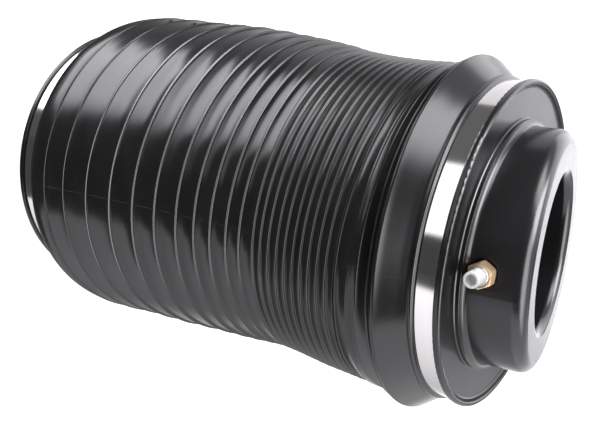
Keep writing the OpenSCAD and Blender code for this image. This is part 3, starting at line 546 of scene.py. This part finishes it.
def close(tree, geometry, material):
    """Ends a geometry tree: its instances become real and take the material."""
    whole = tree.add("GeometryNodeRealizeInstances", {}, {"Geometry": geometry})
    dressed = tree.add("GeometryNodeSetMaterial", {}, {"Geometry": whole, "Material": material})
    end = tree.nodes.nodes.new("NodeGroupOutput")
    tree.nodes.links.new(dressed.socket, end.inputs[0])
    return tree.nodes


SETTLE_SIZES = {label: "NodeSocketFloat"
                for label in ("Sway", "Set back", "Lean", "Nod", "Dent depth", "Dent seed")}
# The heights between which each movement sets in and between which it dies away again, in metres
SWAY_IN, SWAY_OUT = (0.016, 0.125), (0.16, 0.215)
BACK_IN, BACK_OUT = (0.016, 0.038), (0.05, 0.19)
LEAN_IN, LEAN_OUT = (0.036, 0.088), (0.233, 0.25)
NOD_IN, NOD_EASE, NOD_OUT = (0.016, 0.04), (0.062, 0.104), (0.14, 0.205)
DENT_IN, DENT_OUT = (0.016, 0.04), (0.225, 0.25)
# How often dents come: hand-sized ones, and finer ones that run around the folds, with the finer ones' share
DENT_SCALE, FINE_SCALE, FINE_SHARE = 17.0, 60.0, 0.35
FINE_STRETCH = (0.4, 0.4, 2.4)
# The share of the nod that is gone after it eases, and which way is back
NOD_EASED = 0.62
BACK_X, BACK_Y = -0.97, 0.242


def settled(tree, geometry, given):
    """Moves the points as the slack boot has settled: its axis sways sideways and back, its folds lean over
    to one side and nod at the bottom, and it has shallow hand-sized dents. Nothing moves at the two cuffs."""
    place = tree.add("GeometryNodeInputPosition")
    x, y, z = tree.split(place)

    def between(start, stop):
        return tree.step(z, *start) * (1.0 - tree.step(z, *stop))

    sway = between(SWAY_IN, SWAY_OUT) * given["Sway"]
    back = between(BACK_IN, BACK_OUT) * given["Set back"]
    lean = between(LEAN_IN, LEAN_OUT) * given["Lean"]
    nod = between(NOD_IN, NOD_OUT) * (1.0 - tree.step(z, *NOD_EASE) * NOD_EASED) * given["Nod"]
    dent = tree.noise(place, DENT_SCALE, 1.0, 0.4, given["Dent seed"]) - 0.5
    stretched = tree.vector("MULTIPLY", place, FINE_STRETCH)
    fine = tree.noise(stretched, FINE_SCALE, 1.0, 0.4, given["Dent seed"] + 5.0) - 0.5
    push = (dent + fine * FINE_SHARE) * given["Dent depth"] * between(DENT_IN, DENT_OUT)
    out = tree.vector("LENGTH", tree.join(x, y, 0.0), out="Value")
    across, along = x / out, y / out
    total = tree.join(across * push + back * BACK_X, along * push + back * BACK_Y - sway,
                      0.0 - lean * along - nod * across)
    return tree.add("GeometryNodeSetPosition", {}, {"Geometry": geometry, "Offset": total})


def smoothed(tree, geometry, given):
    """The end of each of the boot's trees: its shape settles, is shaded smooth and takes the boot rubber."""
    still = settled(tree, geometry, given)
    smooth = tree.add("GeometryNodeSetShadeSmooth", {}, {"Geometry": still, "Shade Smooth": True})
    return close(tree, smooth, finishes["boot_rubber"])


# Points of the spun skin closer than this, in metres, are one point: where the spin meets itself
WELD = 0.000004


def spun_boot():
    """Spins the section about the axis by placing the points of a grid, then lets it settle."""
    tree, section, given = group("spun_boot", dict(SETTLE_SIZES, Points="NodeSocketInt",
                                                   Segments="NodeSocketInt"))
    rows = given["Segments"] + 1.0
    grid = tree.add("GeometryNodeMeshGrid", {}, {"Size X": 1.0, "Size Y": 1.0,
                                                 "Vertices X": given["Points"], "Vertices Y": rows})
    number = tree.add("GeometryNodeInputIndex")
    point = tree.maths("FLOOR", (number + 0.01) / rows)
    turn = (number - point * rows) * (2 * math.pi) / given["Segments"]
    sampled = tree.add("GeometryNodeSampleIndex", {"data_type": "FLOAT_VECTOR", "domain": "POINT"},
                       {"Geometry": section, "Value": tree.add("GeometryNodeInputPosition"), "Index": point})
    r, unused, z = tree.split(sampled)
    spun = tree.add("GeometryNodeSetPosition", {},
                    {"Geometry": grid, "Position": tree.join(r * tree.maths("COSINE", turn),
                                                             r * tree.maths("SINE", turn), z)})
    whole = tree.add("GeometryNodeMergeByDistance", {}, {"Geometry": spun, "Distance": WELD})
    return smoothed(tree, whole, given)


def mould_seam():
    """A fine half-sunk bead that follows the section where the two halves of the mould met."""
    tree, section, given = group("mould_seam", dict(SETTLE_SIZES, **{"Seam azimuth": "NodeSocketFloat",
                                                                    "Bead radius": "NodeSocketFloat"}))
    path = tree.add("GeometryNodeMeshToCurve", {}, {"Mesh": section})
    bead = tree.add("GeometryNodeCurvePrimitiveCircle", {}, {"Resolution": 6, "Radius": given["Bead radius"]})
    swept = tree.add("GeometryNodeCurveToMesh", {}, {"Curve": path, "Profile Curve": bead, "Fill Caps": True})
    turned = tree.add("GeometryNodeTransform", {},
                      {"Geometry": swept, "Rotation": tree.join(0.0, 0.0, given["Seam azimuth"])})
    return smoothed(tree, turned, given)


def vent_nibs():
    """A low round nib of rubber at each point, facing away from the axis, where the mould was vented."""
    tree, points, given = group("vent_nibs", dict(SETTLE_SIZES, **{"Nib radius": "NodeSocketFloat",
                                                                  "Nib height": "NodeSocketFloat"}))
    x, y, z = tree.split(tree.add("GeometryNodeInputPosition"))
    facing = tree.add("FunctionNodeAlignRotationToVector", {"axis": "Z"}, {"Vector": tree.join(x, y, 0.0)})
    ball = tree.add("GeometryNodeMeshUVSphere", {}, {"Segments": 24, "Rings": 12, "Radius": 1.0})
    dome = tree.join(given["Nib radius"], given["Nib radius"], given["Nib height"])
    set_out = tree.add("GeometryNodeInstanceOnPoints", {},
                       {"Points": points, "Instance": ball, "Rotation": facing, "Scale": dome})
    loose = tree.add("GeometryNodeRealizeInstances", {}, {"Geometry": set_out})
    return smoothed(tree, loose, given)


def skin_radius(section, height):
    """How far out the outside of the section is at a height."""
    for (r0, z0), (r1, z1) in zip(section, section[1:]):
        if z0 <= height < z1:
            return r0 + (r1 - r0) * (height - z0) / (z1 - z0)


def grown(source, nodes, name, inputs):
    """The plain mesh that a geometry tree makes of source, as a new object at the origin."""
    bpy.context.scene.collection.objects.link(source)
    modifier = source.modifiers.new("grow", "NODES")
    modifier.node_group = nodes
    keys = {item.name: item.identifier for item in nodes.interface.items_tree if item.in_out == "INPUT"}
    for label, value in inputs.items():
        modifier[keys[label]] = value
    graph = bpy.context.evaluated_depsgraph_get()
    mesh = bpy.data.meshes.new_from_object(source.evaluated_get(graph))
    source.modifiers.remove(modifier)
    bpy.data.objects.remove(source)
    work = bmesh.new()
    work.from_mesh(mesh)
    bmesh.ops.recalc_face_normals(work, faces=work.faces)
    work.to_mesh(mesh)
    work.free()
    mesh.name = name
    return placed(name, mesh)


section = boot_section()
settle = {"Sway": 0.0027, "Set back": 0.003, "Lean": 0.0045, "Nod": 0.0074,
          "Dent depth": 0.0006, "Dent seed": 3.0}
boot = grown(line_mesh("section", section + section[:1]), spun_boot(), "folded_boot",
             dict(settle, Points=len(section) + 1, Segments=192))

# The seam runs from the top of the lower band to the foot of the upper one, its middle just under the skin
SEAM_START, SEAM_END, SEAM_SINK = 0.0128, 0.2655, 0.00006
low = next(k for k, p in enumerate(section) if p[1] > SEAM_START)
high = next(k for k, p in enumerate(section) if p[1] > SEAM_END)
seam = grown(line_mesh("seam_line", [(r - SEAM_SINK, z) for r, z in section[low:high]]), mould_seam(),
             "boot_mould_seam", dict(settle, **{"Seam azimuth": math.radians(2.2), "Bead radius": 0.0001}))

# Two nibs above each other on each half of the mould
NIB_HEIGHTS = (0.0546, 0.0712)
NIB_AZIMUTHS = (-79, 101)
nib_points = []
for height in NIB_HEIGHTS:
    for azimuth in NIB_AZIMUTHS:
        r, turn = skin_radius(section, height), math.radians(azimuth)
        nib_points.append((r * math.cos(turn), r * math.sin(turn), height))
nib_mesh = bpy.data.meshes.new("nib_points")
nib_mesh.from_pydata(nib_points, [], [])
nibs = grown(bpy.data.objects.new("nib_points", nib_mesh), vent_nibs(), "boot_vent_nibs",
             dict(settle, **{"Nib radius": 0.0019, "Nib height": 0.0007}))

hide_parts("dust_boot")
for piece in (boot, seam, nibs):
    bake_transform(piece)


# Camera

CAMERA_PLACE = (0.3937, -0.0996, 0.4042)
CAMERA_RIGHT = Vector((-0.56233, -0.08936, 0.82207))
CAMERA_DOWN = Vector((0.13872, 0.96985, 0.20032))
CAMERA_AHEAD = Vector((-0.81520, 0.22668, -0.53298))

camera_data = bpy.data.cameras.new("camera")
camera_data.lens = 49.67
camera_data.sensor_width = 36.0
camera_data.sensor_fit = "HORIZONTAL"
camera_data.clip_start = 0.01
camera_data.clip_end = 60.0
camera = placed("camera", camera_data)
facing = Matrix((CAMERA_RIGHT, -CAMERA_DOWN, -CAMERA_AHEAD)).transposed()
camera.matrix_world = Matrix.Translation(CAMERA_PLACE) @ facing.to_4x4()
bpy.context.scene.camera = camera


# Studio

def direction(azimuth, elevation):
    """The unit vector that points that way, angles in degrees."""
    a, e = math.radians(azimuth), math.radians(elevation)
    return Vector((math.cos(a) * math.cos(e), math.sin(a) * math.cos(e), math.sin(e)))


# The middle of the spring, which the cards and the light surround; the cards' slightly violet white; and the
# strips that each card is bent from
CENTRE = Vector((0.0, 0.0, 0.15))
CARD_WHITE = (0.98, 0.962, 1.0)
CARD_STRIPS = 16


def glow(name, level, soft, far):
    """Emission that fades at a card's edges and falls to the share far at its last side, by its UV map."""
    material = bpy.data.materials.new(name)
    tree = emptied(material)
    u, v, unused = tree.split(tree.add("ShaderNodeUVMap"))
    edge = 1.0
    for part, width in ((u, soft[0]), (1.0 - u, soft[1]), (v, soft[2]), (1.0 - v, soft[3])):
        edge = edge * tree.step(part, 0.0, width) if width else edge
    tint = tree.blend(u, (*CARD_WHITE, 1), (*(far * c for c in CARD_WHITE), 1))
    lit = tree.add("ShaderNodeEmission", {}, {"Color": tint, "Strength": level})
    clear = tree.add("ShaderNodeBsdfTransparent")
    shown(tree, tree.add("ShaderNodeMixShader", {}, [edge, clear, lit]))
    return material


def card(name, corners, distance, level, soft=(0, 0, 0, 0), far=1.0):
    """A curved studio card that only reflections see. corners are four (azimuth, elevation) pairs: low and
    high at its first side, then high and low at its last. soft is the share of its width or height over which
    it fades, at the first and last side and at the low and high edge."""
    points, uvs, faces = [], [], []
    for i in range(CARD_STRIPS + 1):
        for j in range(CARD_STRIPS + 1):
            u, v = i / CARD_STRIPS, j / CARD_STRIPS
            weights = ((1 - u) * (1 - v), (1 - u) * v, u * v, u * (1 - v))
            a, e = (sum(w * c[axis] for w, c in zip(weights, corners)) for axis in (0, 1))
            points.append(CENTRE + distance * direction(a, e))
            uvs.append((u, v))
    for i in range(CARD_STRIPS):
        for j in range(CARD_STRIPS):
            k = i * (CARD_STRIPS + 1) + j
            faces.append((k, k + 1, k + CARD_STRIPS + 2, k + CARD_STRIPS + 1))
    mesh = bpy.data.meshes.new(name)
    mesh.from_pydata(points, [], faces)
    layer = mesh.uv_layers.new(name="card")
    for loop in mesh.loops:
        layer.data[loop.index].uv = uvs[loop.vertex_index]
    mesh.materials.append(glow(name, level, soft, far))
    made = placed(name, mesh)
    made.visible_camera = made.visible_diffuse = made.visible_shadow = False
    made.visible_transmission = made.visible_volume_scatter = False


def wide(a0, a1, e0, e1):
    """The corners of a card from azimuth a0 to a1 and elevation e0 to e1."""
    return (a0, e0), (a0, e1), (a1, e1), (a1, e0)


# Broad low lights that give the rubber its grey: left of the camera, right of it, and beyond the spring
card("left_wall", wide(-178, -106, -52, 0), 9.0, 1.35, (0.1, 0.05, 0.7, 0.1), 0.6)
card("left_top", wide(-176, -60, 40, 89), 9.4, 2.2, (0.1, 0.1, 0.2, 0))
card("left_dark", wide(-140, -100, -4, 44), 9.1, 0.7, (0.1, 0.05, 0.1, 0.1))
card("left_high", wide(-184, -128, -6, 50), 9.2, 2.6, (0.1, 0.15, 0.1, 0.1))
card("right_wall", ((22, -27), (40, 0), (150, 0), (150, -27)), 8.6, 1.5, (0.02, 0.3, 0, 0), 0.25)
card("right_middle", ((47, -52), (22, -27), (134, -27), (134, -52)), 8.6, 1.35, (0.02, 0.3, 0.05, 0), 0.1)
card("right_high", ((40, 0), (62, 42), (134, 40), (134, 0)), 8.6, 2.2, (0.02, 0.35, 0, 0.1), 0.5)
card("far_low", ((188, -40), (188, 9), (128, 9), (128, -40)), 9.2, 2.4, (0.1, 0.2, 0.2, 0.05), 0.45)
card("far_floor", wide(90, 200, -66, -33), 9.1, 0.35, (0, 0, 0.05, 0.25))
card("far_peak", wide(159, 178, -3, 5), 9.0, 2.9, (0.3, 0.3, 0.2, 0.2))
card("far_left", wide(168, 188, 7, 50), 9.1, 2.1, (0.4, 0, 0.05, 0.2))
card("far_right", wide(120, 161, 7, 50), 9.1, 1.0, (0.2, 0.15, 0.05, 0.2))
card("far_dark", wide(140, 188, 7, 50), 9.4, 0.2, (0.1, 0, 0, 0.2))
# Dark cards that keep the front of the boot and of the cap black
card("floor_dark", wide(20, 200, -90, -44), 9.6, 0.08, (0, 0.1, 0, 0.05))
card("flag", ((-14, -90), (-14, 58), (70, 50), (24, -90)), 8.8, 0.07, (0.03, 0.01, 0, 0.05))
card("front_dark", wide(-64, -4, -28, 58), 9.3, 0.13, (0.05, 0, 0.05, 0.05))
card("front_low", wide(-205, 20, -90, -24), 9.7, 0.1, (0, 0.02, 0, 0.05))
card("gap", wide(-118, -56, -34, 10), 8.4, 0.15, (0.05, 0.05, 0.05, 0.2))
# Softboxes: the bright sheets along the boot, on the band and on the rounds of the cap
card("front_sky", ((-64, 60), (-64, 86), (134, 86), (134, 38)), 8.5, 8.0, (0.1, 0.3, 0.15, 0))
card("softbox_middle", wide(-112, -50, 14, 54), 7.6, 8.5, (0.2, 0.5, 0.25, 0.2))
card("softbox_left", ((-108, -57), (-114, -35), (-58, -29), (-50, -57)), 7.2, 4.7, (0.12, 0, 0.1, 0.35), 1.3)
card("softbox_right", ((-50, -57), (-58, -29), (-12, -22), (-40, -52)), 7.2, 5.8, (0, 0.6, 0.1, 0.35), 0.3)
card("band_strip", wide(-62, -8, -30, -17), 7.1, 1.7, (0.06, 0.06, 0.1, 0.1))
card("softbox_high", ((-150, 46), (-150, 84), (-52, 84), (-52, 54)), 7.4, 17.0, (0.12, 0.12, 0.15, 0.1))

KEY_DIRECTION = direction(-84, 22)
KEY_DISTANCE = 1.2
key_data = bpy.data.lights.new("key_softbox", "AREA")
key_data.shape = "RECTANGLE"
key_data.size = 0.9
key_data.size_y = 1.1
key_data.energy = 12.0
key = placed("key_softbox", key_data)
key.matrix_world = (Matrix.Translation(CENTRE + KEY_DISTANCE * KEY_DIRECTION)
                    @ KEY_DIRECTION.to_track_quat("Z", "Y").to_matrix().to_4x4())
key.visible_camera = False
key.visible_glossy = False

# White wherever the camera or a reflection looks past the cards, and a little dimmer and cooler as a light
world = bpy.data.worlds.new("studio")
bpy.context.scene.world = world
tree = emptied(world)
path = tree.add("ShaderNodeLightPath").socket.node
rays = [Value(tree, path.outputs[f"Is {kind} Ray"]) for kind in ("Camera", "Glossy", "Transmission")]
seen = tree.maths("MAXIMUM", tree.maths("MAXIMUM", rays[0], rays[1]), rays[2])
ambient = tree.add("ShaderNodeBackground", {}, {"Color": (0.97, 0.98, 1.0, 1), "Strength": 0.85})
white = tree.add("ShaderNodeBackground", {}, {"Color": grey(1.0), "Strength": 1.0})
shown(tree, tree.add("ShaderNodeMixShader", {}, [seen, ambient, white]), "ShaderNodeOutputWorld")

# A pale floor that throws light up from below and that the camera sees as white
FLOOR_HALF = 6
floor_mesh = bpy.data.meshes.new("floor")
floor_mesh.from_pydata([(-FLOOR_HALF, -FLOOR_HALF, 0), (FLOOR_HALF, -FLOOR_HALF, 0),
                        (FLOOR_HALF, FLOOR_HALF, 0), (-FLOOR_HALF, FLOOR_HALF, 0)], [], [(0, 1, 2, 3)])
floor = placed("floor", floor_mesh)
floor.visible_glossy = False
pale = bpy.data.materials.new("pale_floor")
tree = emptied(pale)
path = tree.add("ShaderNodeLightPath").socket.node
matt = tree.add("ShaderNodeBsdfDiffuse", {}, {"Color": grey(0.86)})
lit = tree.add("ShaderNodeEmission", {},
               {"Color": grey(1.0), "Strength": Value(tree, path.outputs["Is Camera Ray"]) * 0.8})
shown(tree, tree.add("ShaderNodeAddShader", {}, [matt, lit]))
floor_mesh.materials.append(pale)

bpy.context.scene.view_settings.view_transform = "Standard"
